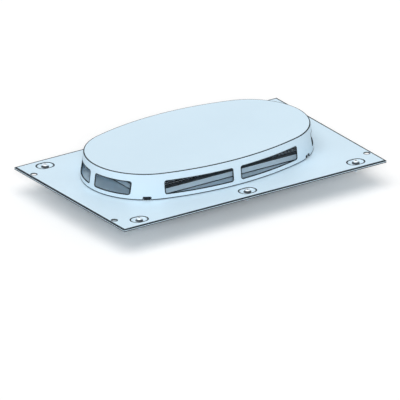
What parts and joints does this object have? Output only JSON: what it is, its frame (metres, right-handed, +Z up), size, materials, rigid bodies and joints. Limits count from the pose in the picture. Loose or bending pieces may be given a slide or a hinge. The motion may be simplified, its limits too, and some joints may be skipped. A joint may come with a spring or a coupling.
{
  "type": "enclosure roof fan",
  "caption": "Roof fan for a floor-standing enclosure: axial fans under a flat roof panel blow warm air through a grille and out of the side windows of an oval hood.",
  "frame": {"origin": "middle of the pattern of fixing screws, in the seat plane on top of the enclosure", "axes": "+Z up, +X along the long side of the panel, +Y to the back"},
  "size_m": [0.65, 0.4, 0.112],
  "materials": {
    "roof_paint": "satin pale blue paint",
    "gasket_foam": "closed-cell foam, matte",
    "screw_zinc": "zinc plated",
    "frame_paint": "satin pale blue paint",
    "grille_paint": "satin dark grey paint",
    "hood_moulding": "finely grained pale blue moulding",
    "bearing_bronze": "sintered bronze",
    "stator_iron": "stacked laminations",
    "guard_chrome": "bright plated wire",
    "fan_casting": "black painted die casting",
    "shaft_steel": "ground steel",
    "impeller_paint": "black painted sheet steel",
    "terminal_plastic": "light grey moulding",
    "earth_brass": "turned brass"
  },
  "bodies": {
    "root": {"roof_panel": "roof_paint", "roof_gasket": "gasket_foam", "fixing_screws": "screw_zinc", "outlet_frame": "frame_paint", "grille": "grille_paint", "hood": "hood_moulding", "fan_bolts": "screw_zinc", "shaft_bearings": "bearing_bronze", "motor_stators": "stator_iron", "finger_guards": "guard_chrome", "guard_screws": "screw_zinc", "fan_housing_left": "fan_casting", "fan_housing_right": "fan_casting", "terminal_block": "terminal_plastic", "earth_stud": "earth_brass", "earth_nut": "earth_brass"},
    "rotor_left": {"impeller_left": "impeller_paint", "shaft_left": "shaft_steel"},
    "rotor_right": {"impeller_right": "impeller_paint", "shaft_right": "shaft_steel"}
  },
  "joints": [
    {"name": "left_fan_spin", "type": "hinge", "parent": "root", "child": "rotor_left", "pos_m": [-0.09, 0.013, -0.0205], "axis": [0, 0, 1], "continuous": true},
    {"name": "right_fan_spin", "type": "hinge", "parent": "root", "child": "rotor_right", "pos_m": [0.09, 0.013, -0.0205], "axis": [0, 0, 1], "continuous": true}
  ]
}
